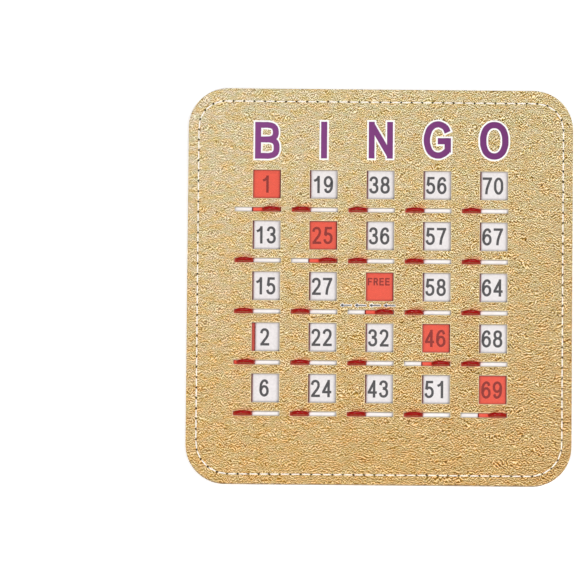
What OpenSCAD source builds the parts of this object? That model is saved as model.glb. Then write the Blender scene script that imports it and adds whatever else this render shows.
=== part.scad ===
// Bingo card with sliding shutters: a stitched leatherette pad with five rows of number windows.
// The card lies on its back with its face up. X runs along the rows, Y towards the heading, Z out of the face.
// The origin is the middle of the back face. All sizes are in millimetres.

/* [Card] */
// Border from the clear slide's pocket to the card's left and right edges
side_border = 8.55; // [7:0.05:20]
// Border from the pocket up to the card's top edge, with room for the heading
head_border = 33.65; // [26:0.05:45]
// Border from the pocket down to the card's bottom edge
foot_border = 31.4; // [10:0.05:45]
// Radius of the card's corners
corner_r = 19; // [10:0.5:26]
// How far the inner plies stop short of the covers' edge
ply_setback = 0.15; // [0:0.05:0.6]

/* [Plies] */
// Leatherette left on the back between the sunk thread and the board
groove_floor = 0.15; // [0.05:0.05:0.4]
// Thickness of the stiff board behind the numbers
back_board_t = 0.6; // [0.4:0.05:1.5]
// Thickness of the printed number sheet
number_sheet_t = 0.2; // [0.1:0.05:0.5]
// Thickness of the board in front of the shutters
front_board_t = 0.6; // [0.4:0.05:1.2]
// Thickness of the leatherette on the face
front_cover_t = 0.4; // [0.3:0.05:0.8]

/* [Windows] */
// Width of a window
window_w = 13; // [11:0.1:18]
// Height of a window
window_h = 13.6; // [11:0.1:18]
// Strip of board left showing round a window, inside the leatherette
window_reveal = 0.2; // [0:0.05:0.5]

/* [Slots] */
// Bridge of board between a window and its slot
bridge_w = 4.45; // [3.5:0.05:8]
// Height of a slot
slot_h = 2; // [1.6:0.05:2.6]
// Gap between a tab and the end of its slot
slot_end_gap = 0.15; // [0.1:0.05:0.4]
// Gap between a tab and the side of its slot
slot_side_gap = 0.15; // [0.1:0.05:0.3]

/* [Shutters] */
// Thickness of a shutter's film
film_t = 0.35; // [0.2:0.05:0.6]
// Rim of the film behind the board, left of and above the window and below the slot
film_lap = 0.5; // [0.3:0.05:0.9]
// Rim of the film to the right of a covered window
film_cover = 0.2; // [0.1:0.05:0.5]
// Edge of an open film that shows at the window's left side
film_reveal = 0.6; // [0.2:0.05:1]
// Gap between a covering film and the open film of the next column
film_gap = 0.7; // [0.3:0.05:3]
// Width of the bar between two rows of films
bar_w = 3.25; // [2:0.05:8]
// Corner radius of the film
film_corner_r = 0.6; // [0.2:0.05:1]
// Length of a finger tab
tab_l = 8.9; // [6:0.1:11]
// Height of a finger tab above the face
tab_h = 4.2; // [2.5:0.1:6]
// How far a tab stops short of the film's right edge
tab_setback = 0.1; // [0.05:0.05:0.5]
// How far from fully open the clear slide may leave a shutter, and one is left so
ajar = 1.1; // [0:0.1:3]

/* [Clear slide] */
// Thickness of the slide sheet
slide_t = 0.35; // [0.25:0.05:0.6]
// Diameter of the peg under each shutter
peg_d = 1.8; // [1.2:0.1:2.4]
// Gap between a peg and its slot in the slide
peg_gap = 0.15; // [0.1:0.05:0.3]
// Gap between the middle shutter's peg and its hole in the slide
peg_fit = 0.05; // [0.02:0.01:0.1]
// How far the slide's rails stay back from the windows
rail_setback = 0.4; // [0.2:0.05:0.6]
// How far the slide reaches past the slots
rail_lap = 1; // [0.5:0.1:2]
// Width of the rail above the top row
top_rail_w = 5; // [3:0.1:8]
// Width of the bar at the slide's right end
end_bar_w = 4; // [3:0.1:6]

/* [Running gaps] */
// Gap above and below a sliding sheet
run_gap = 0.1; // [0.08:0.01:0.2]
// Gap between a film and the bars of its channel
film_side_gap = 0.15; // [0.1:0.05:0.3]
// Gap between the slide and the walls of its pocket
slide_gap = 0.3; // [0.15:0.05:0.6]

/* [Stitching] */
// Length of one stitch, needle hole to needle hole
stitch_pitch = 5; // [4:0.1:7]
// Thickness of the thread
thread_d = 0.7; // [0.5:0.05:1]
// Bare gap at a needle hole between two stitches
needle_gap = 0.8; // [0.5:0.05:1.2]
// Gap on each side of the thread in its sewn groove
groove_gap = 0.15; // [0.05:0.05:0.4]
// Depth of the sewn groove on the face
front_groove_d = 0.12; // [0.05:0.01:0.2]
// How far the thread on the back lies inside the back face
back_thread_inset = 0.02; // [0.01:0.01:0.05]
// Distance from the seam to the card's left edge
seam_left = 4.9; // [3.5:0.1:6]
// Distance from the seam to the card's right edge
seam_right = 4.6; // [3.5:0.1:7]
// Distance from the seam to the card's top edge
seam_top = 6.2; // [3.5:0.1:8]
// Distance from the seam to the card's bottom edge
seam_bottom = 4.5; // [3.5:0.1:7]
// Radius of the seam's top corners
seam_top_r = 12.5; // [8:0.5:18]
// Radius of the seam's bottom corners
seam_bottom_r = 15; // [8:0.5:20]

/* [Colours] */
// Leatherette
leather_colour = "#cda45f"; // [#cda45f, #b98a45, #8c5a34]
// Board plies
board_colour = "#a08a6e"; // [#a08a6e, #c9c2b4, #6f6253]
// Shutters
shutter_colour = "#c81e16"; // [#c81e16, #1e50c8, #1e8c3c]

/* [Hidden] */
$fn = 48;
columns = ["b", "i", "n", "g", "o"];
count = len(columns);
middle = (count - 1) / 2;
last = count - 1;

// Shutters that cover their numbers, and the one that is left ajar
covered = ["shutter_b1", "shutter_i2", "shutter_g4", "shutter_o5"];
left_ajar = "shutter_b4";
free_cell = [middle, middle];
cells = [for (c = [0:last]) for (r = [0:last]) if ([c, r] != free_cell) [c, r]];

// Heights of the plies, from the back face up
back_groove_d = thread_d / 2 + back_thread_inset;
back_cover_t = back_groove_d + groove_floor;
back_board_z = back_cover_t;
number_sheet_z = back_board_z + back_board_t;
slide_frame_z = number_sheet_z + number_sheet_t;
slide_frame_t = slide_t + 2 * run_gap;
shutter_guide_z = slide_frame_z + slide_frame_t;
shutter_guide_t = film_t + 2 * run_gap;
front_board_z = shutter_guide_z + shutter_guide_t;
front_cover_z = front_board_z + front_board_t;
face_z = front_cover_z + front_cover_t;
slide_z = slide_frame_z + run_gap;
film_z = shutter_guide_z + run_gap;

// A shutter in its covering place, measured from its window's middle
slot_drop = window_h / 2 + bridge_w + slot_h / 2;
film_x0 = -window_w / 2 - film_lap;
film_x1 = window_w / 2 + film_cover;
film_y0 = -slot_drop - slot_h / 2 - film_lap;
film_y1 = window_h / 2 + film_lap;
travel = window_w + film_cover - film_reveal;
tab_x1 = film_x1 - tab_setback;
tab_x = tab_x1 - tab_l / 2;
tab_t = slot_h - 2 * slot_side_gap;
tab_moon_r = (tab_l * tab_l / 4 + tab_h * tab_h) / (2 * tab_h);
peg_y = -(window_h / 2 + slot_drop - slot_h / 2) / 2;
slot_x0 = tab_x1 - tab_l - travel - slot_end_gap;
slot_x1 = tab_x1 + slot_end_gap;

// The windows: columns stand clear of each other's films, and rows have a bar between them
col_pitch = film_x1 - film_x0 + travel + film_gap;
row_pitch = film_y1 - film_y0 + 2 * film_side_gap + bar_w;
left_x = -middle * col_pitch;
right_x = middle * col_pitch;

// The clear slide's reach past the middles of the top and bottom rows
slide_rise = window_h / 2 + rail_setback + top_rail_w;
slide_sink = slot_drop + slot_h / 2 + rail_lap;

// The card: its borders lie outside the pocket, and the middle row is placed to centre the outline
pocket_h = slide_rise + slide_sink + 2 * middle * row_pitch + 2 * slide_gap;
card_h = pocket_h + head_border + foot_border;
grid_rise = (foot_border - head_border + slide_sink - slide_rise) / 2;
top_y = grid_rise + middle * row_pitch;
bottom_y = grid_rise - middle * row_pitch;

// The clear slide at rest, and the pocket with room on its left for the travel
slide_x0 = left_x + slot_x0 - rail_lap;
slide_bar_x = right_x + window_w / 2 + rail_setback + travel;
slide_x1 = slide_bar_x + end_bar_w;
slide_y0 = bottom_y - slide_sink;
slide_y1 = top_y + slide_rise;
pocket_x0 = slide_x0 - travel - slide_gap;
card_w = 2 * (side_border - pocket_x0);

// The seam: its corners in order, anticlockwise from the bottom right
seam_x0 = -card_w / 2 + seam_left;
seam_x1 = card_w / 2 - seam_right;
seam_y0 = -card_h / 2 + seam_bottom;
seam_y1 = card_h / 2 - seam_top;
seam_r = [seam_bottom_r, seam_top_r, seam_top_r, seam_bottom_r];
seam_corner = [[seam_x1, seam_y0], [seam_x1, seam_y1], [seam_x0, seam_y1], [seam_x0, seam_y0]];
seam_inward = [[-1, 1], [-1, -1], [1, -1], [1, 1]];
seam_heading = [[1, 0], [0, 1], [-1, 0], [0, -1]];
corners = len(seam_corner);
function before(i) = (i + corners - 1) % corners;
function seam_side(i) = norm(seam_corner[i] - seam_corner[before(i)]) - seam_r[i] - seam_r[before(i)];
seam_leg = [for (i = [0:corners - 1]) each [seam_side(i), seam_r[i] * PI / 2]];
function total(v, i = 0) = i == len(v) ? 0 : v[i] + total(v, i + 1);
stitch_count = round(total(seam_leg) / stitch_pitch);
stitch_step = total(seam_leg) / stitch_count;

// The groove is wide enough for a straight stitch that cuts a corner
corner_sag = stitch_step * stitch_step / (8 * min(seam_r));
groove_w = thread_d + 2 * (groove_gap + corner_sag);

// The point a distance s along the seam, walking leg by leg: each side, then the corner after it
function on_side(i, s) = seam_corner[before(i)] + (seam_r[before(i)] + s) * seam_heading[i];
function on_corner(i, s) =
    let (turn = s / seam_r[i] * 180 / PI + i * 90 - 90)
    seam_corner[i] + seam_r[i] * (seam_inward[i] + [cos(turn), sin(turn)]);
function seam_point(s, leg = 0) =
    leg < 2 * corners - 1 && s > seam_leg[leg] ? seam_point(s - seam_leg[leg], leg + 1)
    : leg % 2 == 0 ? on_side(leg / 2, s)
    : on_corner((leg - 1) / 2, s);

function cell_place(c, r) = [(c - middle) * col_pitch, grid_rise + (middle - r) * row_pitch, 0];
function shutter_name(c, r) = str("shutter_", columns[c], r + 1);
function is_covered(name) = len([for (other = covered) if (other == name) other]) > 0;
function shutter_x(name) = is_covered(name) ? 0 : name == left_ajar ? ajar - travel : -travel;

// Flat rectangle from one corner to the opposite one
module plate(x0, y0, x1, y1) {
    translate([x0, y0]) square([x1 - x0, y1 - y0]);
}

// Flat rectangle with one radius at its bottom corners and one at its top corners
module round_plate(x0, y0, x1, y1, bottom_r, top_r) {
    polygon([
        [x0 + bottom_r, y0], [x1 - bottom_r, y0], [x1, y0 + bottom_r], [x1, y1 - top_r],
        [x1 - top_r, y1], [x0 + top_r, y1], [x0, y1 - top_r], [x0, y0 + bottom_r]
    ]);
    for (x = [x0 + bottom_r, x1 - bottom_r]) translate([x, y0 + bottom_r]) circle(bottom_r);
    for (x = [x0 + top_r, x1 - top_r]) translate([x, y1 - top_r]) circle(top_r);
}

// Outline of a ply, set back from the card's edge
module card_outline(setback = 0) {
    x = card_w / 2 - setback;
    y = card_h / 2 - setback;
    round_plate(-x, -y, x, y, corner_r - setback, corner_r - setback);
}

// All the windows and slots, grown on every side
module face_cuts(grow = 0) {
    x = window_w / 2 + grow;
    y = window_h / 2 + grow;
    slot_y = slot_h / 2 + grow;
    for (c = [0:last]) for (r = [0:last]) translate(cell_place(c, r)) {
        plate(-x, -y, x, y);
        plate(slot_x0 - grow, -slot_drop - slot_y, slot_x1 + grow, -slot_drop + slot_y);
    }
}

// Band that the seam pulls down, as a closed ring
module seam_band() {
    g = groove_w / 2;
    difference() {
        round_plate(seam_x0 - g, seam_y0 - g, seam_x1 + g, seam_y1 + g, seam_bottom_r + g, seam_top_r + g);
        round_plate(seam_x0 + g, seam_y0 + g, seam_x1 - g, seam_y1 - g, seam_bottom_r - g, seam_top_r - g);
    }
}

module ply(z, t) {
    translate([0, 0, z]) linear_extrude(t) children();
}

module front_cover() {
    color(leather_colour) {
        ply(front_cover_z, front_cover_t - front_groove_d) difference() {
            card_outline();
            face_cuts(window_reveal);
        }
        ply(face_z - front_groove_d, front_groove_d) difference() {
            card_outline();
            face_cuts(window_reveal);
            seam_band();
        }
    }
}

module front_board() {
    color(board_colour) ply(front_board_z, front_board_t) difference() {
        card_outline(ply_setback);
        face_cuts();
    }
}

// Spacer with one open channel for each row of shutters
module shutter_guide() {
    x0 = left_x + film_x0 - travel - film_side_gap;
    x1 = right_x + film_x1 + film_side_gap;
    color(board_colour) ply(shutter_guide_z, shutter_guide_t) difference() {
        card_outline(ply_setback);
        for (r = [0:last]) translate([0, cell_place(0, r)[1]])
            plate(x0, film_y0 - film_side_gap, x1, film_y1 + film_side_gap);
    }
}

// Spacer with the pocket that the clear slide runs in
module slide_frame() {
    color(board_colour) ply(slide_frame_z, slide_frame_t) difference() {
        card_outline(ply_setback);
        plate(pocket_x0, slide_y0 - slide_gap, slide_x1 + slide_gap, slide_y1 + slide_gap);
    }
}

module number_sheet() {
    color("white") ply(number_sheet_z, number_sheet_t) card_outline(ply_setback);
}

module back_board() {
    color(board_colour) ply(back_board_z, back_board_t) card_outline(ply_setback);
}

module back_cover() {
    color(leather_colour) {
        ply(back_groove_d, back_cover_t - back_groove_d) card_outline();
        ply(0, back_groove_d) difference() {
            card_outline();
            seam_band();
        }
    }
}

// One stitch between two needle holes, half round, with its flat side down
module stitch(i) {
    from = seam_point(i * stitch_step);
    to = seam_point((i + 1) * stitch_step);
    way = to - from;
    middle_point = (from + to) / 2;
    translate([middle_point[0], middle_point[1], 0]) rotate(atan2(way[1], way[0]))
        rotate([90, 0, 90]) linear_extrude(norm(way) - needle_gap, center = true) intersection() {
            circle(d = thread_d);
            plate(-thread_d / 2, 0, thread_d / 2, thread_d / 2);
        }
}

module front_stitching() {
    color("ivory") translate([0, 0, face_z - front_groove_d])
        for (i = [0:stitch_count - 1]) stitch(i);
}

module back_stitching() {
    color("ivory") translate([0, 0, back_groove_d]) mirror([0, 0, 1])
        for (i = [0:stitch_count - 1]) stitch(i);
}

// Slot in the slide where a shutter's peg can move by itself until the slide pushes it home.
// Its play at the pushing end is as long as the slide may leave a shutter ajar.
module peg_slot() {
    r = peg_d / 2 + peg_gap;
    push_x = tab_x + ajar;
    plate(tab_x - travel, peg_y - r, push_x, peg_y + r);
    for (x = [tab_x - travel, push_x]) translate([x, peg_y]) circle(r);
}

// Ladder-shaped sheet below the shutters, drawn to the left to open every window at once
module clear_slide() {
    open_x0 = left_x - window_w / 2 - rail_setback;
    open_y = window_h / 2 + rail_setback;
    color("white") ply(slide_z, slide_t) difference() {
        plate(slide_x0, slide_y0, slide_x1, slide_y1);
        for (r = [0:last]) translate([0, cell_place(0, r)[1]]) plate(open_x0, -open_y, slide_bar_x, open_y);
        for (cell = cells) translate(cell_place(cell[0], cell[1])) peg_slot();
        translate(cell_place(middle, middle)) translate([tab_x, peg_y]) circle(d = peg_d + 2 * peg_fit);
    }
}

// Finger tab: a foot that fills the slot, and a half-moon with a rounded rim above the face
module tab() {
    film_top = film_z + film_t;
    rim_r = tab_t / 2;
    translate([tab_x - tab_l / 2, -slot_drop - rim_r, film_top]) cube([tab_l, tab_t, face_z - film_top]);
    intersection() {
        translate([tab_x, -slot_drop, face_z + tab_h - tab_moon_r]) rotate([90, 0, 0])
            rotate_extrude() {
                plate(0, -rim_r, tab_moon_r - rim_r, rim_r);
                translate([tab_moon_r - rim_r, 0]) circle(rim_r);
            }
        translate([tab_x - tab_l / 2, -slot_drop - rim_r, film_top]) cube([tab_l, tab_t, face_z + tab_h - film_top]);
    }
}

// Film, finger tab and peg, moulded in one piece, in the covering place
module shutter_piece() {
    translate([0, 0, film_z]) linear_extrude(film_t)
        round_plate(film_x0, film_y0, film_x1, film_y1, film_corner_r, film_corner_r);
    tab();
    translate([tab_x, peg_y, slide_z]) cylinder(d = peg_d, h = film_z + film_t - slide_z);
}

module free_shutter() {
    color(shutter_colour) translate(cell_place(middle, middle)) shutter_piece();
}

module shutter(c, r) {
    x = shutter_x(shutter_name(c, r));
    color(shutter_colour) translate(cell_place(c, r)) translate([x, 0, 0]) shutter_piece();
}

front_cover();
front_board();
shutter_guide();
slide_frame();
number_sheet();
back_board();
back_cover();
front_stitching();
back_stitching();
clear_slide();
free_shutter();
for (cell = cells)
    shutter(cell[0], cell[1]);
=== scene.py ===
import math

import bmesh
import bpy
from mathutils import Matrix, Vector


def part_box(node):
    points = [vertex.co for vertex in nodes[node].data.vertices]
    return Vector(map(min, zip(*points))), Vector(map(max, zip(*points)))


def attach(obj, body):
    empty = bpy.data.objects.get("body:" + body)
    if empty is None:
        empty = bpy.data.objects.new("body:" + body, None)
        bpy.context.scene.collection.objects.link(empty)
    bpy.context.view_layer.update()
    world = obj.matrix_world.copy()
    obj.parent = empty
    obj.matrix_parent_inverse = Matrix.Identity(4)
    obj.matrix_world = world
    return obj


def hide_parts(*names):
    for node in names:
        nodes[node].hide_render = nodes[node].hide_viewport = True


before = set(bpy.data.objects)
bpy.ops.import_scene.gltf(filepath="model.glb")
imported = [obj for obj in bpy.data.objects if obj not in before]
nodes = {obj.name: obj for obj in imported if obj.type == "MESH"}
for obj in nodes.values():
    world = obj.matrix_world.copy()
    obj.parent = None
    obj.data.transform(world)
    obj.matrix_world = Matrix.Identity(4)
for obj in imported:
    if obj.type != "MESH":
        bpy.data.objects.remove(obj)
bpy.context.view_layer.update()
mm = 0.001
tiny = 1e-7    # lengths below this count as none
gridSize = 5   # columns and rows of windows

# the places that everything is set out from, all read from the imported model
coverLow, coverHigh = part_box("front_cover")
backLow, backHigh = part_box("back_cover")
boardLow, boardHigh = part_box("front_board")
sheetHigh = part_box("number_sheet")[1]
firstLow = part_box("shutter_b1")[0]   # covers its number, first column and row
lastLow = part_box("shutter_o5")[0]    # covers its number, last column and row
freeLow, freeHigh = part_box("free_shutter")
faceZ = coverHigh.z
colPitch = (lastLow.x - firstLow.x) / (gridSize - 1)
rowPitch = (firstLow.y - lastLow.y) / (gridSize - 1)


def addObject(name, data):
    made = bpy.data.objects.new(name, data)
    bpy.context.scene.collection.objects.link(made)
    return made


# camera: nearly square on to the face, from a little below, with the card at the right of the frame
cameraSet = {"lens": 800, "farEnd": 20, "distance": 6080 * mm, "tilt": 10, "roll": 0.52,   # turns in degrees
             "aimX": -43.55 * mm, "aimY": -1.15 * mm}

cameraData = bpy.data.cameras.new("camera")
cameraData.lens = cameraSet["lens"]
cameraData.clip_end = cameraSet["farEnd"]
camera = addObject("camera", cameraData)
cameraTurn = Matrix.Rotation(math.radians(cameraSet["tilt"]), 4, "X")
cameraTurn = cameraTurn @ Matrix.Rotation(math.radians(cameraSet["roll"]), 4, "Z")
cameraAim = Vector((cameraSet["aimX"], cameraSet["aimY"], faceZ))
cameraBack = cameraTurn @ Vector((0, 0, cameraSet["distance"]))
camera.matrix_world = Matrix.Translation(cameraAim + cameraBack) @ cameraTurn
bpy.context.scene.camera = camera
print("camera set")


# small helpers for node trees
def addNode(tree, kind, inputs=None, **settings):
    made = tree.nodes.new("ShaderNode" + kind)
    for key, value in settings.items():
        setattr(made, key, value)
    for key, value in (inputs or {}).items():
        if isinstance(value, bpy.types.NodeSocket):
            tree.links.new(value, made.inputs[key])
        else:
            made.inputs[key].default_value = value
    return made


def mathNode(tree, operation, a, b=0.0, clamp=False):
    return addNode(tree, "Math", {0: a, 1: b}, operation=operation, use_clamp=clamp).outputs[0]


def linear(tree, value, times, plus):
    return addNode(tree, "Math", {0: value, 1: times, 2: plus}, operation="MULTIPLY_ADD").outputs[0]


def vectorNode(tree, operation, a, b):
    return addNode(tree, "VectorMath", {0: a, 1: b}, operation=operation).outputs[0]


def scaled(tree, vector, by):
    return vectorNode(tree, "MULTIPLY", vector, by)


def rangeNode(tree, value, fromMin, fromMax, toMin=0.0, toMax=1.0, smooth=True):
    spans = {"Value": value, "From Min": fromMin, "From Max": fromMax, "To Min": toMin, "To Max": toMax}
    way = "SMOOTHSTEP" if smooth else "LINEAR"
    return addNode(tree, "MapRange", spans, interpolation_type=way).outputs["Result"]


def mixColour(tree, factor, a, b, blend="MIX"):
    # inputs 6 and 7 and output 2 are the node's colours
    return addNode(tree, "Mix", {0: factor, 6: a, 7: b}, data_type="RGBA", blend_type=blend).outputs[2]


def noiseNode(tree, vector, scale, detail=2.0, roughness=0.5):
    inputs = {"Vector": vector, "Scale": scale, "Detail": detail, "Roughness": roughness}
    return addNode(tree, "TexNoise", inputs)


def newMaterial(name):
    made = bpy.data.materials.new(name)
    made.use_nodes = True
    tree = made.node_tree
    tree.nodes.clear()
    return made, tree, tree.nodes.new("ShaderNodeOutputMaterial")


def newGroup(name, inputs, outputs):
    group = bpy.data.node_groups.new(name, "ShaderNodeTree")
    for key, kind in inputs:
        group.interface.new_socket(key, in_out="INPUT", socket_type=kind)
    for key, kind in outputs:
        group.interface.new_socket(key, in_out="OUTPUT", socket_type=kind)
    return group, group.nodes.new("NodeGroupInput"), group.nodes.new("NodeGroupOutput")


# an ordinary 0 to 255 colour as the linear one that shaders take
def colour(red, green, blue):
    shares = (red / 255, green / 255, blue / 255)
    return (*(c / 12.92 if c <= 0.04045 else ((c + 0.055) / 1.055) ** 2.4 for c in shares), 1.0)


# wrinkled grain of the leatherette: wavy creases, longer low on the face and finer higher up
grainLook = {   # lengths in millimetres, scales per millimetre
    "bends": ((0.15, 4.0), (0.7, 1.2)),   # scale of each bend in the creases, and how far it pushes them
    "blotch": 0.05,                       # scale of the areas with finer or longer creases
    "blotchBy": (1.6, -0.8),
    "stretch": (1.7, 1.0, 1.0),
    "scale": 0.85,
    "frequency": (0.12, 1.2),             # what finer creases add, and the frequency of the longest
    "anisotropy": (-0.2, 0.6),
    "pores": 3.0,
    "poresBy": (0.16, -0.08),
    "crestWide": 0.42,
    "tone": {"stretch": (0.6, 1.0, 1.0), "scale": 0.42, "span": (0.3, 0.7)},
    "patch": {"stretch": (0.5, 1.0, 1.0), "scale": 0.34, "span": (0.38, 0.66)},
}


def makeGrainGroup(look):
    group, given, out = newGroup(
        "leatherGrain",
        [("Place", "NodeSocketVector"), ("Finer", "NodeSocketFloat")],
        [("Height", "NodeSocketFloat"), ("Tone", "NodeSocketFloat"), ("Patch", "NodeSocketFloat")],
    )
    place = scaled(group, given.outputs["Place"], (1 / mm, 1 / mm, 1 / mm))
    flow = place
    for scale, by in look["bends"]:
        push = noiseNode(group, flow, scale, 1.0).outputs["Color"]
        push = vectorNode(group, "SUBTRACT", push, (0.5, 0.5, 0.5))
        flow = vectorNode(group, "ADD", flow, scaled(group, push, (by, by, 0)))

    # crest lines of a rippled noise whose ripples run across the card
    blotch = noiseNode(group, place, look["blotch"]).outputs["Fac"]
    share = mathNode(group, "ADD", given.outputs["Finer"], linear(group, blotch, *look["blotchBy"]), True)
    ripple = addNode(group, "TexGabor", {"Vector": scaled(group, flow, look["stretch"]),
                                         "Scale": look["scale"],
                                         "Frequency": linear(group, share, *look["frequency"]),
                                         "Anisotropy": linear(group, share, *look["anisotropy"]),
                                         "Orientation 2D": math.pi / 2}).outputs["Phase"]
    pores = noiseNode(group, place, look["pores"]).outputs["Fac"]
    off = mathNode(group, "ABSOLUTE", mathNode(group, "SUBTRACT", ripple, 0.5))
    off = mathNode(group, "ADD", off, linear(group, pores, *look["poresBy"]))
    group.links.new(rangeNode(group, off, 0.0, look["crestWide"], 1.0, 0.0), out.inputs["Height"])

    # soft clouds that tint the creases
    for key in ("tone", "patch"):
        stretched = scaled(group, flow, look[key]["stretch"])
        cloud = noiseNode(group, stretched, look[key]["scale"], 3.0, 0.6).outputs["Fac"]
        group.links.new(rangeNode(group, cloud, *look[key]["span"]), out.inputs[key.capitalize()])
    return group


grainGroup = makeGrainGroup(grainLook)


leatherLook = {
    # the pit and crest colours are partly the grain's own two tones and partly painted light: painted shade in the
    # pits, painted highlight on the crests
    "pit": colour(86, 58, 4),
    "tan": colour(248, 221, 196),
    "crest": colour(250, 255, 246),
    "warmCrest": colour(248, 236, 196),
    "slope": (0.0, 0.5),              # heights between which pit turns to tan
    "top": (0.6, 1.0),                # heights between which tan turns to crest
    "amber": (1.03, 0.86, 0.45, 1),
    "amberCrest": (1.0, 0.96, 0.85, 1),
    "olive": (0.86, 0.98, 0.76, 1),
    # painted light over the face: a painted sheen makes the top left paler, and painted shade makes the bottom
    # right deeper and the right side warmer
    "faded": (1.0, 1.0, 0.87, 1),     # top left
    "golden": (0.83, 0.56, 0.13, 1),  # bottom right
    "warm": (1.04, 0.98, 0.5, 1),     # right side
    # the reach of the painted light over the face, and of the grain's change up the face
    "edge": 90 * mm,                  # where the drifts of colour end
    "fadeUp": 0.38,
    "fadeAcross": -0.1,
    # calm pulls the painted shade of the pits and the painted highlight of the crests together at the left; the
    # bump stays the same
    "calm": 0.12,                     # how much shallower the creases are at the left
    "bump": 0.1 * mm,
    "bumpStrength": 0.8,
    "roughness": (0.62, 0.42),        # in the pits and on the crests
    "gloss": 0.22,
}


def makeLeather(name, look):
    made, tree, out = newMaterial(name)
    place = addNode(tree, "TexCoord").outputs["Object"]
    apart = addNode(tree, "SeparateXYZ", {0: place}).outputs
    edge = look["edge"]
    rise = rangeNode(tree, apart["Y"], -edge, edge)
    # share of the painted warmer shade, growing to the right
    across = rangeNode(tree, apart["X"], -edge, edge, smooth=False)
    # the painted pit shade and crest highlight are weaker at the left
    less = rangeNode(tree, apart["X"], -edge, edge, look["calm"], 0.0, False)
    # share of the painted light: high at the top left, low at the bottom right
    paintedLight = mathNode(tree, "ADD", linear(tree, apart["Y"], look["fadeUp"] / edge, 0.5),
                    mathNode(tree, "MULTIPLY", apart["X"], look["fadeAcross"] / edge), True)
    grain = addNode(tree, "Group", {"Place": place, "Finer": rise}, node_tree=grainGroup).outputs
    height = grain["Height"]
    # colour by crease height: the grain's own tones, with painted shade in the pits
    crease = rangeNode(tree, height, 0.0, 1.0, less, mathNode(tree, "SUBTRACT", 1.0, less), False)
    body = mixColour(tree, rangeNode(tree, crease, *look["slope"], smooth=False), look["pit"], look["tan"])
    body = mixColour(tree, grain["Patch"], body, look["amber"], "MULTIPLY")
    body = mixColour(tree, grain["Tone"], body, look["olive"], "MULTIPLY")
    # painted sheen and shade over the face, then the painted warmer shade at the right
    body = mixColour(tree, 1.0, body, mixColour(tree, paintedLight, look["golden"], look["faded"]), "MULTIPLY")
    body = mixColour(tree, across, body, look["warm"], "MULTIPLY")
    # the crest colour also follows the painted light, warmer at the bottom right
    crest = mixColour(tree, paintedLight, look["warmCrest"], look["crest"])
    crest = mixColour(tree, grain["Patch"], crest, look["amberCrest"], "MULTIPLY")
    # painted highlight: the crests turn pale cream
    body = mixColour(tree, rangeNode(tree, crease, *look["top"], smooth=False), body, crest)
    rough = rangeNode(tree, height, 0, 1, *look["roughness"])
    bump = addNode(tree, "Bump", {"Height": height, "Distance": look["bump"], "Strength": look["bumpStrength"]})
    shader = addNode(tree, "BsdfPrincipled", {"Base Color": body, "Roughness": rough, "Normal": bump.outputs[0],
                                              "Specular IOR Level": look["gloss"]})
    tree.links.new(shader.outputs[0], out.inputs["Surface"])
    return made


leather = makeLeather("leatherette", leatherLook)


plainLook = {"detail": 3.0, "roughness": 0.6, "span": (0.3, 0.7), "driftEdge": 60 * mm}


# plainer finishes: two shades mixed by a fine mottle, and where asked, painted light that makes the colour paler
# at the left and deeper at the right
def makePlain(name, low, high, scale, rough, bumpBy=0.0, stretch=(1, 1, 1), paintedFalloff=0.0, gloss=0.5):
    made, tree, out = newMaterial(name)
    place = scaled(tree, addNode(tree, "TexCoord").outputs["Object"], stretch)
    mottle = noiseNode(tree, place, scale, plainLook["detail"], plainLook["roughness"]).outputs["Fac"]
    share = rangeNode(tree, mottle, *plainLook["span"])
    # painted light: paler at the left, deeper at the right
    if paintedFalloff:   # paler at the left, deeper at the right
        side = addNode(tree, "SeparateXYZ", {0: place}).outputs["X"]
        side = rangeNode(tree, side, plainLook["driftEdge"], -plainLook["driftEdge"], 0.0, paintedFalloff, False)
        share = linear(tree, share, 1 - paintedFalloff, side)
    inputs = {"Base Color": mixColour(tree, share, low, high),
              "Roughness": rangeNode(tree, mottle, *plainLook["span"], *rough),
              "Specular IOR Level": gloss}
    if bumpBy:
        inputs["Normal"] = addNode(tree, "Bump", {"Height": mottle, "Distance": bumpBy}).outputs[0]
    shader = addNode(tree, "BsdfPrincipled", inputs)
    tree.links.new(shader.outputs[0], out.inputs["Surface"])
    return made


board = makePlain("greyboard", colour(128, 110, 88), colour(176, 158, 132), 1500, (0.8, 0.95), 0.05 * mm,
                  (1, 1, 6))
paper = makePlain("paper", colour(221, 216, 216), colour(231, 226, 226), 900, (0.7, 0.85), 0.01 * mm)
threadWhite = makePlain("thread", colour(236, 226, 212), colour(255, 250, 242), 2500, (0.6, 0.8), 0.06 * mm)
plasticWhite = makePlain("whitePlastic", colour(242, 236, 234), colour(250, 246, 244), 300, (0.35, 0.45))
cutEdge = makePlain("cutEdge", colour(236, 214, 160), colour(252, 240, 204), 2000, (0.6, 0.8))
# near black: painted shade inside the needle holes
needleShade = makePlain("needleHole", colour(9, 5, 2), colour(20, 12, 6), 3000, (0.8, 0.9))
# the heading ink gets painted light: paler at the left, deeper at the right
purpleInk = makePlain("purpleInk", colour(108, 46, 106), colour(127, 62, 124), 700, (0.55, 0.7), 0.01 * mm,
                      paintedFalloff=0.85, gloss=0.2)
whiteInk = makePlain("whiteInk", colour(242, 240, 238), colour(250, 248, 246), 700, (0.55, 0.7), 0.01 * mm)
darkInk = makePlain("darkInk", colour(58, 56, 58), colour(80, 78, 80), 1200, (0.5, 0.65))


# red plastic: share is how solid it looks, and shade how solid it is to light that falls through
filmLook = {"tint": (1.0, 0.63, 0.53, 1), "body": (0.95, 0.24, 0.25, 1), "deep": (0.95, 0.24, 0.25, 1),
            "share": 0.12, "shade": 0.1, "roughness": 0.22, "gloss": 0.5}
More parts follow.
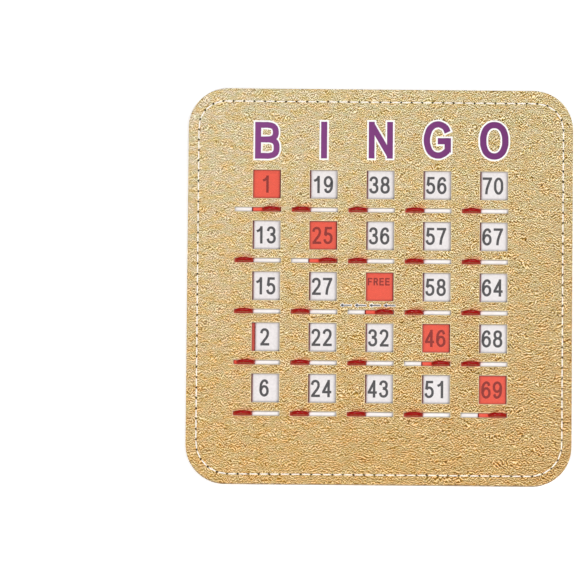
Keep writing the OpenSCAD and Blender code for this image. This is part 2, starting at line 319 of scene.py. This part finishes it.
# painted shade: the dark red of the film's border and edge
edgeShadeLook = {"tint": (0.55, 0.2, 0.2, 1), "body": (0.24, 0.02, 0.02, 1), "deep": (0.24, 0.02, 0.02, 1),
            "share": 0.5, "shade": 0.3, "roughness": 0.2, "gloss": 0.5}
# the tab's paler low red and deep high red are painted light
tabLook = {"tint": (1.0, 0.42, 0.28, 1), "body": (0.88, 0.1, 0.09, 1), "deep": (0.29, 0.001, 0.001, 1),
           "share": 0.95, "shade": 0.12, "roughness": 0.12, "gloss": 0.25}
# wear of the red plastic, with the heights over which the painted deep red comes in
redWearAndShade = {"stretch": (1, 3, 1), "scale": 420, "detail": 4.0, "roughness": 0.65, "span": (0.35, 0.75),
           "dull": 0.2, "bump": 0.01 * mm, "deepFrom": faceZ - 0.6 * mm, "deepTo": faceZ + 1.8 * mm}


# coloured see-through plastic: part tinted clear, part glossy red body, which for the tab goes from a paler red
# low down to a deep red higher up: painted shade for light that passes through more plastic, and a painted
# highlight on the lit lower part
def makeRed(name, look):
    made, tree, out = newMaterial(name)
    place = addNode(tree, "TexCoord").outputs["Object"]
    scuff = noiseNode(tree, scaled(tree, place, redWearAndShade["stretch"]), redWearAndShade["scale"], redWearAndShade["detail"],
                      redWearAndShade["roughness"]).outputs["Fac"]
    rough = rangeNode(tree, scuff, *redWearAndShade["span"], look["roughness"], look["roughness"] + redWearAndShade["dull"])
    bump = addNode(tree, "Bump", {"Height": scuff, "Distance": redWearAndShade["bump"]})
    clear = addNode(tree, "BsdfTransparent", {"Color": look["tint"]})
    # painted light on the body: paler red low down as a painted highlight, deep red higher up as painted shade
    height = addNode(tree, "SeparateXYZ", {0: place}).outputs["Z"]
    depth = rangeNode(tree, height, redWearAndShade["deepFrom"], redWearAndShade["deepTo"])
    body = mixColour(tree, depth, look["body"], look["deep"])
    shader = addNode(tree, "BsdfPrincipled", {"Base Color": body, "Roughness": rough, "Normal": bump.outputs[0],
                                              "Specular IOR Level": look["gloss"]})
    shaded = addNode(tree, "LightPath").outputs["Is Shadow Ray"]   # coloured light falls through
    share = linear(tree, shaded, look["shade"] - look["share"], look["share"])
    mixed = addNode(tree, "MixShader", {0: share, 1: clear.outputs[0], 2: shader.outputs[0]})
    tree.links.new(mixed.outputs[0], out.inputs["Surface"])
    return made


redFilm = makeRed("redFilm", filmLook)
redTab = makeRed("redTab", tabLook)
redEdge = makeRed("redEdge", edgeShadeLook)
print("finishes made")


# helpers for meshes
def addPiece(name, bm, materials, body, replaced=None, sharp=40):
    mesh = bpy.data.meshes.new(name)
    for face in bm.faces:
        face.smooth = True
    bm.to_mesh(mesh)
    bm.free()
    mesh.set_sharp_from_angle(angle=math.radians(sharp))
    for material in materials:
        mesh.materials.append(material)
    piece = addObject(name, mesh)
    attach(piece, body)
    if replaced:
        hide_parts(replaced)
    return piece


def vertsOf(geom):
    return [g for g in geom if isinstance(g, bmesh.types.BMVert)]


# thickens the flat faces of a mesh along one direction
def thicken(bm, by):
    raised = bmesh.ops.extrude_face_region(bm, geom=bm.faces[:], use_keep_orig=True)["geom"]
    bmesh.ops.translate(bm, vec=by, verts=vertsOf(raised))
    bmesh.ops.recalc_face_normals(bm, faces=bm.faces[:])


# points at equal steps round a rectangle with rounded corners, each with its outward direction
def walkRound(low, high, bottomRadius, topRadius, count):
    corners = [(high.x, low.y, bottomRadius), (high.x, high.y, topRadius),
               (low.x, high.y, topRadius), (low.x, low.y, bottomRadius)]
    inward = [(-1, 1), (-1, -1), (1, -1), (1, 1)]
    legs = []
    for i, (x, y, r) in enumerate(corners):
        backX, backY, backR = corners[i - 1]
        heading = Vector((math.cos(i * math.pi / 2), math.sin(i * math.pi / 2)))
        length = abs(x - backX) + abs(y - backY) - r - backR
        legs.append(("side", length, Vector((backX, backY)) + heading * backR, heading))
        centre = Vector((x, y)) + r * Vector(inward[i])
        legs.append(("corner", r * math.pi / 2, centre, (r, i * math.pi / 2 - math.pi / 2)))
    total = sum(leg[1] for leg in legs)
    walked = []
    for step in range(count):
        s = total * step / count
        for kind, length, start, way in legs:
            if s <= length:
                break
            s -= length
        if kind == "side":
            walked.append((start + way * s, Vector((way.y, -way.x))))
        else:
            out = Vector((math.cos(s / way[0] + way[1]), math.sin(s / way[0] + way[1])))
            walked.append((start + out * way[0], out))
    return walked, total


seam = {"pitch": 5 * mm, "thread": 0.7 * mm, "bottomRadius": 15 * mm, "topRadius": 12.5 * mm,
        "points": 4}   # points to a stitch

sewnLow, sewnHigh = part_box("front_stitching")
seamLow = sewnLow + Vector((seam["thread"], seam["thread"], 0)) / 2
seamHigh = sewnHigh - Vector((seam["thread"], seam["thread"], 0)) / 2
seamLength = walkRound(seamLow, seamHigh, seam["bottomRadius"], seam["topRadius"], 1)[1]
stitchCount = round(seamLength / seam["pitch"])
walkCount = stitchCount * seam["points"]
seamWalk = walkRound(seamLow, seamHigh, seam["bottomRadius"], seam["topRadius"], walkCount)[0]


# windows and slots, measured from each window's middle
window = {"wide": 13 * mm, "high": 13.6 * mm, "reveal": 0.2 * mm, "lap": 0.5 * mm,
          "slotDrop": 12.25 * mm, "slotHigh": 2 * mm, "slotLeft": -15.05 * mm, "slotRight": 6.75 * mm}

gridMiddle = Vector((freeLow.x + window["lap"] + window["wide"] / 2,
                     freeHigh.y - window["lap"] - window["high"] / 2))
fromMiddle = [i - gridSize // 2 for i in range(gridSize)]
cellMiddles = [[gridMiddle + Vector((c * colPitch, -r * rowPitch)) for c in fromMiddle] for r in fromMiddle]


# spans of the windows and slots up and across the card
def openings():
    grow = window["reveal"]
    rows, columns = [], []
    for i in range(gridSize):
        x, y = cellMiddles[0][i].x, cellMiddles[i][0].y
        slotY = y - window["slotDrop"]
        rows.append((y - window["high"] / 2 - grow, y + window["high"] / 2 + grow, "window"))
        rows.append((slotY - window["slotHigh"] / 2 - grow, slotY + window["slotHigh"] / 2 + grow, "slot"))
        columns.append((x - window["wide"] / 2 - grow, x + window["wide"] / 2 + grow, "window"))
        columns.append((x + window["slotLeft"] - grow, x + window["slotRight"] + grow, "slot"))
    return rows, columns


cover = {"cornerRadius": 19 * mm, "roll": 1.3 * mm, "rollDrop": 0.28 * mm,
         "rollSteps": ((0.15, 0.5), (0.45, 0.15), (1, 0)),   # shares of the roll inward and of its drop
         "groove": 0.75 * mm, "frontGroove": 0.12 * mm, "backGroove": 0.3 * mm,
         "hole": 0.58 * mm, "holeWall": 0.25, "holeDeep": 0.15 * mm, "holeFloor": 0.05 * mm,
         "margin": 1 * mm, "rim": 0.18 * mm}


# a leatherette cover: rolled edge, sewn groove with needle holes, and any openings cut through
def makeCover(name, low, high, outZ, inZ, grooveDeep, cut, replaced):
    bm = bmesh.new()
    out = 1 if outZ > inZ else -1

    # each ring is extruded from the one before it, point by point, and set in its place
    def nextRing(ring, walk, grow, z):
        made = bmesh.ops.extrude_edge_only(bm, edges=ring[1])["geom"]
        fresh = set(vertsOf(made))
        verts = [next(e.other_vert(v) for e in v.link_edges if e.other_vert(v) in fresh) for v in ring[0]]
        for vert, (p, n) in zip(verts, walk):
            vert.co = (p.x + n.x * grow, p.y + n.y * grow, z)
        return verts, [g for g in made if isinstance(g, bmesh.types.BMEdge) and fresh.issuperset(g.verts)]

    edgeWalk = walkRound(low, high, cover["cornerRadius"], cover["cornerRadius"], walkCount)[0]
    first = [bm.verts.new((p.x, p.y, outZ - out * cover["rollDrop"])) for p, n in edgeWalk]
    rings = [(first, [bm.edges.new((first[i - 1], first[i])) for i in range(walkCount)])]
    steps = [(edgeWalk, -cover["roll"] * inward, cover["rollDrop"] * drop) for inward, drop in cover["rollSteps"]]
    steps += [(seamWalk, cover["groove"], 0), (seamWalk, 0, grooveDeep), (seamWalk, -cover["groove"], 0)]
    for walk, grow, drop in steps:
        rings.append(nextRing(rings[-1], walk, grow, outZ - out * drop))
    if cut:   # a plain core to cut from, filled round to the seam
        rows, columns = openings()
        left = min(span[0] for span in columns) - cover["margin"]
        right = max(span[1] for span in columns) + cover["margin"]
        bottom = min(span[0] for span in rows) - cover["margin"]
        top = max(span[1] for span in rows) + cover["margin"]
        corners = ((left, bottom), (right, bottom), (right, top), (left, top))
        panel = bm.faces.new([bm.verts.new((x, y, outZ)) for x, y in corners])
        bmesh.ops.triangle_fill(bm, edges=rings[-1][1] + panel.edges[:], use_beauty=True)
    else:
        panel = bm.faces.new(rings[-1][0])

    # needle holes: where two stitches meet, the bottom of the groove is opened into a small pit, coloured near
    # black as painted shade
    holes = rings[-2][0][::seam["points"]]
    pits = bmesh.ops.bevel(bm, geom=holes, offset=cover["hole"], affect="VERTICES", segments=1, profile=0.5,
                           material=-1)["faces"]
    walls = bmesh.ops.inset_individual(bm, faces=pits, thickness=cover["hole"] * cover["holeWall"],
                                       depth=0)["faces"]
    for face in pits + walls:
        face.material_index = 1
    holeDeep = min(cover["holeDeep"], abs(outZ - inZ) - grooveDeep - cover["holeFloor"])
    for vert in {v for face in pits for v in face.verts}:
        vert.co.z -= out * holeDeep

    if cut:
        lines = [((x, 0, 0), (1, 0, 0)) for span in columns for x in span[:2]]
        lines += [((0, y, 0), (0, 1, 0)) for span in rows for y in span[:2]]
        pieces = [panel]
        for point, normal in lines:
            geom = pieces + list({e for f in pieces for e in f.edges}) + list({v for f in pieces for v in f.verts})
            parts = bmesh.ops.bisect_plane(bm, geom=geom, plane_co=point, plane_no=normal, dist=tiny)["geom"]
            pieces = [g for g in parts if isinstance(g, bmesh.types.BMFace)]
        gone = []
        for face in pieces:
            middle = face.calc_center_median()
            for y0, y1, kind in rows:
                if y0 < middle.y < y1 and any(x0 < middle.x < x1 and kind == other for x0, x1, other in columns):
                    gone.append(face)
        bmesh.ops.delete(bm, geom=gone, context="FACES")

    # the sheet gets its thickness, with a flat inner side
    copied = bmesh.ops.extrude_face_region(bm, geom=bm.faces[:], use_keep_orig=True)["geom"]
    for vert in vertsOf(copied):
        vert.co.z = inZ
    bmesh.ops.recalc_face_normals(bm, faces=bm.faces[:])
    rims = []
    for edge in bm.edges:
        if len(edge.link_faces) == 2 and all(abs(v.co.z - outZ) < tiny for v in edge.verts):
            upright = [abs(f.normal.z) < 0.1 for f in edge.link_faces]
            if any(upright) and not all(upright):
                rims.append(edge)
    if rims:
        worn = bmesh.ops.bevel(bm, geom=rims, offset=cover["rim"], affect="EDGES", segments=2, profile=0.5,
                               material=-1)
        for face in worn["faces"]:
            face.material_index = 2   # the pale core shows along the cut edges
    return addPiece(name, bm, [leather, needleShade, cutEdge], "card", replaced)


makeCover("frontCover", coverLow, coverHigh, coverHigh.z, coverLow.z, cover["frontGroove"], True, "front_cover")
makeCover("backCover", backLow, backHigh, backLow.z, backHigh.z, cover["backGroove"], False, "back_cover")
print("covers made")


stitch = {"gap": 1.0 * mm, "wide": 0.7 * mm, "sides": 6, "rings": 8, "twists": 2.5, "lobe": 0.10,
          "fullness": 5,   # how much fuller than a ball towards the ends
          "sink": 0.05 * mm, "frontRise": 0.34 * mm, "backRise": 0.33 * mm, "backFloor": 0.36 * mm}


# one run of white thread per side of the card: each stitch is a bowed, twisted rope with ends that dip
def makeStitches(name, floorZ, rise, out, replaced):
    bm = bmesh.new()
    for i in range(stitchCount):
        start = seamWalk[i * seam["points"]][0]
        end = seamWalk[(i + 1) * seam["points"] % walkCount][0]
        way = end - start
        half = (way.length - stitch["gap"]) / 2
        made = bmesh.ops.create_uvsphere(bm, u_segments=stitch["sides"], v_segments=stitch["rings"],
                                         radius=1)["verts"]
        for vert in made:
            along = vert.co.z
            thick = math.sqrt(max(0.0, 1 - abs(along) ** stitch["fullness"]))
            ring = Vector((vert.co.x, vert.co.y))
            if ring.length > tiny:
                turn = math.atan2(ring.y, ring.x)
                swell = 1 + stitch["lobe"] * math.cos(2 * turn + along * stitch["twists"] * math.pi)
                ring = ring.normalized() * thick * swell
            bow = rise / 2 * math.sqrt(max(0.0, 1 - along * along))
            across = ring.x * stitch["wide"] / 2
            up = (ring.y * rise / 2 + bow) / (1 + stitch["lobe"] / 2)
            vert.co = Vector((along * half, across, max(up, -stitch["sink"]) * out))
        heading = Matrix.Rotation(math.atan2(way.y, way.x), 4, "Z")
        spot = Matrix.Translation(((start.x + end.x) / 2, (start.y + end.y) / 2, floorZ))
        bmesh.ops.transform(bm, matrix=spot @ heading, verts=made)
    bmesh.ops.recalc_face_normals(bm, faces=bm.faces[:])
    return addPiece(name, bm, [threadWhite], "card", replaced, sharp=70)


makeStitches("frontStitching", faceZ - cover["frontGroove"], stitch["frontRise"], 1, "front_stitching")
makeStitches("backStitching", stitch["backFloor"], stitch["backRise"], -1, "back_stitching")
print("stitches made")


shutter = {"filmWide": 13.7 * mm, "filmHigh": 21.05 * mm, "filmThick": 0.35 * mm, "play": 0.1 * mm,
           # border is the width of the film's painted shade border
           "cornerRadius": 0.6 * mm, "edge": 0.07 * mm, "border": 0.48 * mm,
           "tabLong": 8.9 * mm, "tabThick": 1.7 * mm, "tabSetback": 0.1 * mm, "tabHigh": 4.2 * mm,
           "tabUp": 1.5 * mm, "tabSides": 56, "rim": 0.8 * mm,
           "peg": 1.8 * mm, "pegTaper": 0.85, "pegSides": 16, "pegUp": 4.72 * mm}
filmTop = faceZ - (coverHigh.z - coverLow.z) - (boardHigh.z - boardLow.z) - shutter["play"]


# a film with its finger tab and peg, measured from the film's bottom left corner
def makeShutter(name, node):
    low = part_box(node)[0]
    wide, high = shutter["filmWide"], shutter["filmHigh"]
    bm = bmesh.new()
    corners = ((0, 0), (wide, 0), (wide, high), (0, high))
    film = bm.faces.new([bm.verts.new((x, y, filmTop - shutter["filmThick"])) for x, y in corners])
    bmesh.ops.bevel(bm, geom=film.verts[:], offset=shutter["cornerRadius"], affect="VERTICES", segments=4,
                    profile=0.5, material=-1)
    thicken(bm, (0, 0, shutter["filmThick"]))
    rim = [e for e in bm.edges if abs(e.verts[0].co.z - e.verts[1].co.z) < tiny]
    bmesh.ops.bevel(bm, geom=rim, offset=shutter["edge"], affect="EDGES", segments=2, profile=0.5, material=-1)
    broad = [f for f in bm.faces if f.calc_area() > wide * high / 2]
    bmesh.ops.inset_individual(bm, faces=broad, thickness=shutter["border"], depth=0)
    for face in bm.faces:
        # painted shade: the film's border and edge are a dark red, standing in for the shadow where the film runs
        # under the board's lip
        face.material_index = 0 if face in broad else 2   # the film's edge looks deeper

    # the tab is part of a disc that stands on the film
    tabX = wide - shutter["tabSetback"] - shutter["tabLong"] / 2
    moon = (shutter["tabLong"] ** 2 / 4 + shutter["tabHigh"] ** 2) / (2 * shutter["tabHigh"])
    moonZ = faceZ + shutter["tabHigh"] - moon
    tab = bmesh.new()
    disc = bmesh.ops.create_circle(tab, cap_ends=True, segments=shutter["tabSides"], radius=moon)["verts"]
    bmesh.ops.rotate(tab, verts=disc, matrix=Matrix.Rotation(math.pi / 2, 3, "X"))
    bmesh.ops.translate(tab, verts=disc, vec=(tabX, shutter["tabUp"] - shutter["tabThick"] / 2, moonZ))
    whole = tab.verts[:] + tab.edges[:] + tab.faces[:]
    bmesh.ops.bisect_plane(tab, geom=whole, plane_co=(0, 0, filmTop), plane_no=(0, 0, 1), clear_inner=True)
    thicken(tab, (0, shutter["tabThick"], 0))
    rim = [e for e in tab.edges if abs(e.verts[0].co.y - e.verts[1].co.y) < tiny
           and max(v.co.z for v in e.verts) > filmTop + tiny]
    bmesh.ops.bevel(tab, geom=rim, offset=shutter["rim"], affect="EDGES", segments=5, profile=0.5, material=-1)
    for face in tab.faces:
        face.material_index = 1
    held = bpy.data.meshes.new("held")
    tab.to_mesh(held)
    tab.free()
    bm.from_mesh(held)
    bpy.data.meshes.remove(held)

    pegLong = filmTop - shutter["filmThick"] - low.z
    peg = bmesh.ops.create_cone(bm, cap_ends=True, segments=shutter["pegSides"], depth=pegLong,
                                radius1=shutter["peg"] / 2 * shutter["pegTaper"],
                                radius2=shutter["peg"] / 2)["verts"]
    bmesh.ops.translate(bm, verts=peg, vec=(tabX, shutter["pegUp"], low.z + pegLong / 2))
    bmesh.ops.translate(bm, verts=bm.verts[:], vec=(low.x, low.y, 0))
    body = "clear_slide" if node == "free_shutter" else node
    return addPiece(name, bm, [redFilm, redTab, redEdge], body, node)


for node in sorted(nodes):
    if node.endswith("shutter") or node.startswith("shutter_") and node != "shutter_guide":
        first, second = node.split("_")
        makeShutter(first + second.capitalize(), node)
print("shutters made")


# figures and letters drawn as strokes in a box that runs from 0 to 1 each way:
# a line has square ends, an arc runs smoothly through its points, and a loop closes on itself
strokes = {
    "0": [("loop", [(.5, 1), (.13, .86), (0, .5), (.13, .14), (.5, 0), (.87, .14), (1, .5), (.87, .86)])],
    "1": [("line", [(.72, 0), (.72, 1)]), ("arc", [(.70, .98), (.46, .83), (.06, .74)])],
    "2": [("arc", [(.02, .74), (.16, .93), (.5, 1), (.86, .92), (.97, .73), (.84, .51), (.42, .24), (.1, .02)]),
          ("line", [(.08, 0), (1, 0)])],
    "3": [("arc", [(.03, .76), (.17, .94), (.48, 1), (.82, .93), (.93, .76), (.8, .6), (.4, .54)]),
          ("arc", [(.4, .54), (.85, .46), (1, .27), (.85, .07), (.48, 0), (.14, .07), (0, .25)])],
    "4": [("line", [(.78, 0), (.78, 1)]), ("arc", [(.8, 1), (.4, .64), (0, .27)]),
          ("line", [(.02, .26), (1, .26)])],
    "5": [("line", [(.22, 1), (.9, 1)]), ("arc", [(.22, 1), (.16, .75), (.1, .5)]),
          ("arc", [(.08, .5), (.45, .62), (.85, .54), (1, .32), (.85, .08), (.47, 0), (.14, .07), (0, .24)])],
    "6": [("arc", [(.95, .78), (.82, .95), (.52, 1), (.16, .86), (0, .5), (.06, .18), (.3, .03), (.55, 0),
                   (.88, .1), (1, .31), (.86, .53), (.53, .61), (.2, .53), (.03, .34)])],
    "7": [("line", [(0, 1), (1, 1)]), ("arc", [(1, 1), (.68, .62), (.46, .3), (.36, -.06)])],
    "8": [("loop", [(.5, 1), (.16, .93), (.07, .77), (.2, .6), (.5, .54), (.8, .6), (.93, .77), (.84, .93)]),
          ("loop", [(.5, .54), (.12, .45), (0, .26), (.14, .07), (.5, 0), (.86, .07), (1, .26), (.88, .45)])],
    "B": [("line", [(0, 0), (0, 1)]),
          ("arc", [(0, 1), (.3, 1), (.6, .995), (.86, .93), (.95, .77), (.86, .6), (.6, .535), (.3, .53),
                   (0, .53)]),
          ("arc", [(0, .53), (.3, .53), (.64, .525), (.92, .45), (1, .265), (.92, .08), (.64, .005), (.3, 0),
                   (0, 0)])],
    "E": [("line", [(0, 0), (0, 1)]), ("line", [(0, 1), (1, 1)]), ("line", [(0, .52), (.9, .52)]),
          ("line", [(0, 0), (1, 0)])],
    "F": [("line", [(0, 0), (0, 1)]), ("line", [(0, 1), (1, 1)]), ("line", [(0, .5), (.85, .5)])],
    "G": [("arc", [(.97, .745), (.87, .89), (.7, .97), (.5, 1), (.2, .9), (.04, .68), (0, .5), (.04, .3),
                   (.2, .09), (.5, 0), (.72, .03), (.98, .16)]),
          ("line", [(.98, .2), (.98, .46)]), ("line", [(.66, .46), (.98, .46)])],
    "I": [("line", [(.5, 0), (.5, 1)])],
    "N": [("line", [(0, 0), (0, 1)]), ("line", [(1, 0), (1, 1)]), ("slant", [(0, 1), (.5, .5), (1, 0)])],
    "O": [("loop", [(.5, 1), (.2, .92), (.03, .7), (0, .5), (.03, .3), (.2, .08), (.5, 0), (.8, .08),
                    (.97, .3), (1, .5), (.97, .7), (.8, .92)])],
    "R": [("line", [(0, 0), (0, 1)]),
          ("arc", [(0, 1), (.3, 1), (.66, 1), (.92, .9), (.95, .74), (.88, .57), (.6, .5), (.3, .5), (0, .5)]),
          ("arc", [(.55, .5), (.8, .25), (1.02, -.08)])],
    "arrow": [("line", [(.04, .5), (1, .5)]), ("arc", [(.24, 1), (.12, .75), (0, .5)]),
              ("arc", [(0, .5), (.12, .25), (.24, 0)])],
}
strokes["9"] = [(kind, [(1 - x, 1 - y) for x, y in points]) for kind, points in strokes["6"]]


# lays out one sign: its strokes with their places on the card, in metres
def layOut(sign, middle, wide, high, stroke, grow=0.0):
    laid = []
    half = stroke / 2
    corner = middle - Vector((wide - stroke, high - stroke)) / 2
    for kind, points in strokes[sign]:
        path = [corner + Vector((u * (wide - stroke), v * (high - stroke))) for u, v in points]
        more = {"line": half + grow, "slant": stroke * 0.2 + grow * 0.3}.get(kind, grow)
        if kind != "loop":
            path[0] = path[0] + (path[0] - path[1]).normalized() * more
            path[-1] = path[-1] + (path[-1] - path[-2]).normalized() * more
        laid.append((kind, path, half + grow))
    return laid


# heights of the ink's middle: on the sheet, and on the face for white outlines and for what lies on them
ink = {"thick": 0.02 * mm, "onSheet": 0.012 * mm, "outline": 0.014 * mm, "onOutline": 0.045 * mm,
       "levels": 5, "levelStep": 0.3, "curveSteps": 5}


# prints strokes as one thin piece on the surface that carries it
def printStrokes(name, laid, z, material):
    curve = bpy.data.curves.new(name, "CURVE")
    curve.dimensions = "3D"
    curve.twist_mode = "Z_UP"
    curve.bevel_depth = 1.0
    curve.bevel_resolution = 1
    curve.use_fill_caps = True
    curve.resolution_u = ink["curveSteps"]
    widest = max(half for kind, path, half in laid)
    for order, (kind, path, half) in enumerate(laid):
        spline = curve.splines.new("BEZIER")
        spline.bezier_points.add(len(path) - 1)
        spline.use_cyclic_u = kind == "loop"
        # strokes that cross lie on each other, not in one plane
        level = widest * ink["levelStep"] * (order % ink["levels"])
        handle = "VECTOR" if kind in ("line", "slant") else "AUTO"
        for knot, spot in zip(spline.bezier_points, path):
            knot.co = (spot.x, spot.y, level)
            knot.radius = half
            knot.handle_left_type = knot.handle_right_type = handle
    carrier = addObject(name, curve)
    shape = bpy.data.meshes.new_from_object(carrier.evaluated_get(bpy.context.evaluated_depsgraph_get()))
    bpy.data.objects.remove(carrier)
    bpy.data.curves.remove(curve)
    flat = Matrix.Diagonal((1, 1, ink["thick"] / 2 / widest, 1))
    shape.transform(Matrix.Translation((0, 0, z)) @ flat)
    bm = bmesh.new()
    bm.from_mesh(shape)
    bpy.data.meshes.remove(shape)
    bmesh.ops.remove_doubles(bm, verts=bm.verts[:], dist=tiny / 100)
    return addPiece(name, bm, [material], "card")


numbers = {"rows": [[1, 19, 38, 56, 70], [13, 25, 36, 57, 67], [15, 27, None, 58, 64],
                    [2, 22, 32, 46, 68], [6, 24, 43, 51, 69]],
           "wide": 4.45 * mm, "high": 8.35 * mm, "stroke": 1.2 * mm, "step": 5.4 * mm,
           "shift": -0.47 * mm, "lift": 0.25 * mm}
word = {"letters": "FREE", "wide": 2.15 * mm, "high": 3.65 * mm, "stroke": 0.68 * mm, "step": 2.75 * mm,
        "shift": numbers["shift"], "lift": numbers["lift"] + 2.5 * mm}

printed = []
for row, places in zip(numbers["rows"], cellMiddles):
    for number, place in zip(row, places):
        look = word if number is None else numbers
        signs = word["letters"] if number is None else str(number)
        for i, sign in enumerate(signs):
            spot = place + Vector((look["shift"] + (i - (len(signs) - 1) / 2) * look["step"], look["lift"]))
            printed += layOut(sign, spot, look["wide"], look["high"], look["stroke"])
printStrokes("printedNumbers", printed, sheetHigh.z + ink["onSheet"], darkInk)

heading = {"letters": "BINGO", "halo": 0.8 * mm,   # the rest letter by letter, in millimetres
           "up": (70.1, 70.5, 70.7, 71.05, 70.9), "high": (17.8, 17.8, 17.8, 18.15, 18.3),
           "wide": (11.7, 2.6, 11.5, 13.2, 13.6), "stroke": (2.85, 2.9, 2.8, 3.05, 3.1)}
arrow = {"first": -16.0 * mm, "step": 6.9 * mm, "count": 4, "up": -9.2 * mm,
         "wide": 5.2 * mm, "high": 1.6 * mm, "stroke": 0.48 * mm, "halo": 0.27 * mm}

letters, arrows, outline = [], [], []
for i, letter in enumerate(heading["letters"]):
    spot = Vector((cellMiddles[0][i].x, heading["up"][i] * mm))
    sizes = [heading[key][i] * mm for key in ("wide", "high", "stroke")]
    letters += layOut(letter, spot, *sizes)
    outline += layOut(letter, spot, *sizes, heading["halo"])
for i in range(arrow["count"]):
    spot = Vector((arrow["first"] + i * arrow["step"], arrow["up"]))
    sizes = [arrow[key] for key in ("wide", "high", "stroke")]
    arrows += layOut("arrow", spot, *sizes)
    outline += layOut("arrow", spot, *sizes, arrow["halo"])
printStrokes("headingOutline", outline, faceZ + ink["outline"], whiteInk)
printStrokes("headingLetters", letters, faceZ + ink["onOutline"], purpleInk)
printStrokes("clearArrows", arrows, faceZ + ink["onOutline"], darkInk)
print("printing made")


# the plies and the slide keep their CAD shape and get their finishes
for node, material in (("front_board", board), ("shutter_guide", board), ("slide_frame", board),
                       ("back_board", board), ("number_sheet", paper), ("clear_slide", plasticWhite)):
    nodes[node].data.materials.clear()
    nodes[node].data.materials.append(material)


# stage: a pale floor that keeps the shadow and is white to the camera
floorSet = {"reach": 4, "drop": 0.05 * mm, "tone": (0.86, 0.86, 0.86, 1), "roughness": 0.9, "glow": 0.35}

floorMaterial, tree, out = newMaterial("floor")
path = addNode(tree, "LightPath").outputs
seen = mathNode(tree, "MAXIMUM", path["Is Camera Ray"], path["Is Glossy Ray"])
seen = mathNode(tree, "MAXIMUM", seen, path["Is Transmission Ray"])
glow = mathNode(tree, "MULTIPLY", seen, floorSet["glow"])
lit = addNode(tree, "BsdfPrincipled", {"Base Color": floorSet["tone"], "Roughness": floorSet["roughness"],
                                       "Emission Color": (1, 1, 1, 1), "Emission Strength": glow})
bare = addNode(tree, "BsdfTransparent")
under = addNode(tree, "NewGeometry").outputs["Backfacing"]
both = addNode(tree, "MixShader", {0: under, 1: lit.outputs[0], 2: bare.outputs[0]})
tree.links.new(both.outputs[0], out.inputs["Surface"])
bm = bmesh.new()
bmesh.ops.create_grid(bm, x_segments=1, y_segments=1, size=floorSet["reach"])
bmesh.ops.translate(bm, verts=bm.verts[:], vec=(0, 0, -floorSet["drop"]))
floorMesh = bpy.data.meshes.new("floor")
bm.to_mesh(floorMesh)
bm.free()
floorMesh.materials.append(floorMaterial)
floor = addObject("floor", floorMesh)

# a soft key from the lower left, a softbox above to the right, and a plain white surround
lamps = {"key": {"power": 24, "size": 0.54, "place": (-0.9, -1.0, 1.8)},
         "above": {"power": 14.6, "size": 0.9, "place": (0.7, 0.1, 1.45)}}
worldStrength = 0.33

for name, lamp in lamps.items():
    lampData = bpy.data.lights.new(name, "AREA")
    lampData.energy = lamp["power"]
    lampData.size = lamp["size"]
    lampPiece = addObject(name, lampData)
    lampPiece.location = lamp["place"]
    lampPiece.rotation_euler = (-Vector(lamp["place"])).to_track_quat("-Z", "Y").to_euler()

world = bpy.data.worlds.new("world")
world.use_nodes = True
tree = world.node_tree
seen = addNode(tree, "LightPath").outputs["Is Camera Ray"]
strength = linear(tree, seen, 1 - worldStrength, worldStrength)
tree.links.new(strength, tree.nodes["Background"].inputs["Strength"])
tree.nodes["Background"].inputs["Color"].default_value = (1, 1, 1, 1)
bpy.context.scene.world = world
bpy.context.scene.view_settings.view_transform = "Standard"
print("stage set")
